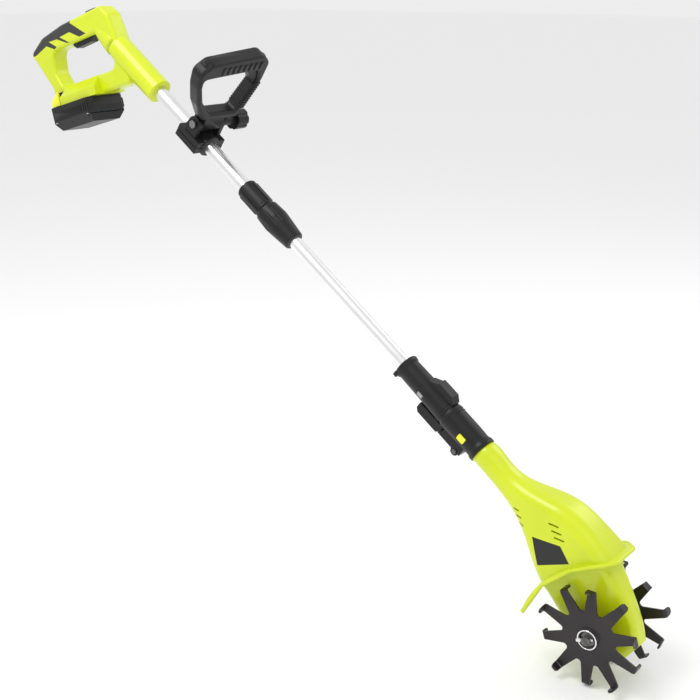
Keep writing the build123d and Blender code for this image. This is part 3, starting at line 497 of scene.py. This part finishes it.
def guard_rim():
    """Rounded bead along the free edge of the guard."""
    edge = rounded([(-46, -97), (-47, -40), (-47, 12), (-42, 45), (-26, 58), (26, 58), (42, 45), (47, 12), (47, -40),
                    (46, -97)], [0.5, 40, 30, 14, 14, 14, 14, 30, 40, 0.5], 10)
    rings = []
    for i, (y, z) in enumerate(edge):
        ya, za = edge[max(0, i - 1)]
        yb, zb = edge[min(len(edge) - 1, i + 1)]
        run = Vector((yb - ya, zb - za))
        run = run.normalized() if run.length > 1e-6 else Vector((0, 1))
        out = Vector((run.y, -run.x))
        if out.dot(Vector((y, z + 20))) < 0:
            out = -out
        x = guard_x(z) + 1.5
        ring = []
        for k in range(14):
            a = 2 * math.pi * k / 14
            dy, dz = out * (2.6 * math.cos(a) - 1.0)
            ring.append(at(x + 3.0 * math.sin(a), y + dy, RISE + z + dz))
        rings.append(ring)
    verts, faces = rings_to_mesh(rings)
    return solid("guard_rim", verts, faces, LIME, "head")


guard_rim()

# ---------------------------------------------------------------- battery relief


def box_rings(place, corners, heights, radius, steps=4):
    """Rings of a low raised panel: rounded corners, inset a little at the top."""
    cx = sum(p[0] for p in corners) / len(corners)
    cy = sum(p[1] for p in corners) / len(corners)
    rings = []
    for height, inset in heights:
        pts = [(cx + (x - cx) * (1 - inset), cy + (y - cy) * (1 - inset)) for x, y in corners]
        rings.append([place(x, y, height) for x, y in rounded(pts, [radius] * len(pts), steps)])
    return rings


BATTERY_HALF = 37.5
for side in (-1, 1):
    name = "left" if side > 0 else "right"
    place = lambda a, b, h: grip(a, side * (BATTERY_HALF + h), b)
    verts, faces = rings_to_mesh(box_rings(place, [(-102, -21.5), (-26, -21.5), (-26, -8), (-102, -8)],
                                           ((-0.6, 0), (0.5, 0), (0.8, 0.015)), 2.5))
    solid(f"battery_panel_{name}", verts, faces, SATIN, "battery", 0.0002)
    for k in range(3):
        a = -22.5 + 5.2 * k
        verts, faces = rings_to_mesh(box_rings(place, [(a, -21), (a + 2.6, -21), (a + 2.6, -6), (a, -6)],
                                               ((-0.6, 0), (0.6, 0), (0.9, 0.08)), 0.8))
        solid(f"battery_rib_{name}_{k}", verts, faces, BLACK, "battery", 0.0002)

# ---------------------------------------------------------------- coupling trim


def band(name, stations, mat, body, count=64):
    """Turned ring about the shaft axis through (x, radius) stations."""
    rings = []
    for x, r in stations:
        ring = []
        for k in range(count):
            a = 2 * math.pi * k / count
            ring.append(at(x, r * math.cos(a), RISE + r * math.sin(a)))
        rings.append(ring)
    verts, faces = rings_to_mesh(rings)
    return solid(name, verts, faces, mat, body)


# Painted highlight: a pale grey patch on the black socket stands in for a highlight on the coupling.
SOCKET_HIGHLIGHT = surface("painted highlight", (0.30, 0.30, 0.31), (0.36, 0.36, 0.37), (0.4, 0.5), grain=1500, bump=0.05)
for x in (-345.5, -349.0):
    band(f"socket_bead_{int(-x)}", [(x - 1.2, 18.2), (x - 0.6, 19.2), (x + 0.6, 19.2), (x + 1.2, 18.2)], BLACK,
         "lower_shaft")
for x in (-336.0, -331.5):
    band(f"sleeve_bead_{int(-x)}", [(x - 1.2, 19.2), (x - 0.6, 20.2), (x + 0.6, 20.2), (x + 1.2, 19.2)], BLACK, "head")
# Raised pale grey patch for the painted highlight, on the right side of the socket.
highlight_patch = []
for lift in (17.3, 18.9):
    highlight_patch.append([at(x, lift * math.cos(a), RISE + lift * math.sin(a)) for x, a in
                 ((-391, 3.16), (-381.5, 3.16), (-381.5, 3.5), (-391, 3.5))])
verts, faces = rings_to_mesh(highlight_patch)
solid("socket_painted_highlight", verts, faces, SOCKET_HIGHLIGHT, "lower_shaft", 0.0003)

# ---------------------------------------------------------------- handle barrel

rings = []
for x, half, tall in ((-1150, 20.3, 20.3), (-1156, 20.1, 20.2), (-1168, 19.0, 19.6), (-1180, 17.4, 18.0),
                      (-1192, 15.9, 15.0), (-1198, 14.6, 12.0)):
    rings.append([at(x, y, RISE + z) for y, z in oval(half, tall, 2.0, 48)])
verts, faces = rings_to_mesh(rings)
solid("barrel_shoulder", verts, faces, LIME, "handle")

# ---------------------------------------------------------------- stage

floor_level = CAD_BOX[0][2] - 0.0005
bpy.ops.mesh.primitive_plane_add(size=60, location=(0, 0, floor_level))
floor = bpy.context.object
floor.name = "floor"
pale = bpy.data.materials.new("pale floor")
pale.use_nodes = True
pale.node_tree.nodes["Principled BSDF"].inputs["Base Color"].default_value = (0.96, 0.96, 0.96, 1)
pale.node_tree.nodes["Principled BSDF"].inputs["Roughness"].default_value = 0.9
floor.data.materials.append(pale)

world = bpy.data.worlds.new("studio")
world.use_nodes = True
world.node_tree.nodes["Background"].inputs["Color"].default_value = (1, 1, 1, 1)
world.node_tree.nodes["Background"].inputs["Strength"].default_value = 0.85
bpy.context.scene.world = world
bpy.context.scene.view_settings.view_transform = "Standard"


def lamp(name, place, aim, power, size):
    """Soft square lamp aimed at a point."""
    data = bpy.data.lights.new(name, "AREA")
    data.energy = power
    data.size = size
    obj = bpy.data.objects.new(name, data)
    obj.location = place
    obj.rotation_euler = (Vector(aim) - Vector(place)).to_track_quat("-Z", "Y").to_euler()
    bpy.context.collection.objects.link(obj)


lamp("key", (-0.9, -1.1, 2.1), (-0.45, 0, 0.3), 20, 1.1)
lamp("fill", (1.4, -1.2, 1.4), (-0.3, 0, 0.2), 5, 1.6)
lamp("rim", (0.4, 1.6, 1.7), (-0.35, 0, 0.3), 8, 1.2)

data = bpy.data.cameras.new("view")
data.lens = 56.57
data.sensor_width = 36.0
camera = bpy.data.objects.new("view", data)
look = Vector((-0.5982, 0.7366, -0.3155)).normalized()
right = look.cross(Vector((0, 0, 1))).normalized()
up = right.cross(look)
turn = Matrix((right, up, -look)).transposed().to_4x4()
camera.matrix_world = Matrix.Translation((0.534, -1.186, 0.798)) @ turn
bpy.context.collection.objects.link(camera)
bpy.context.scene.camera = camera
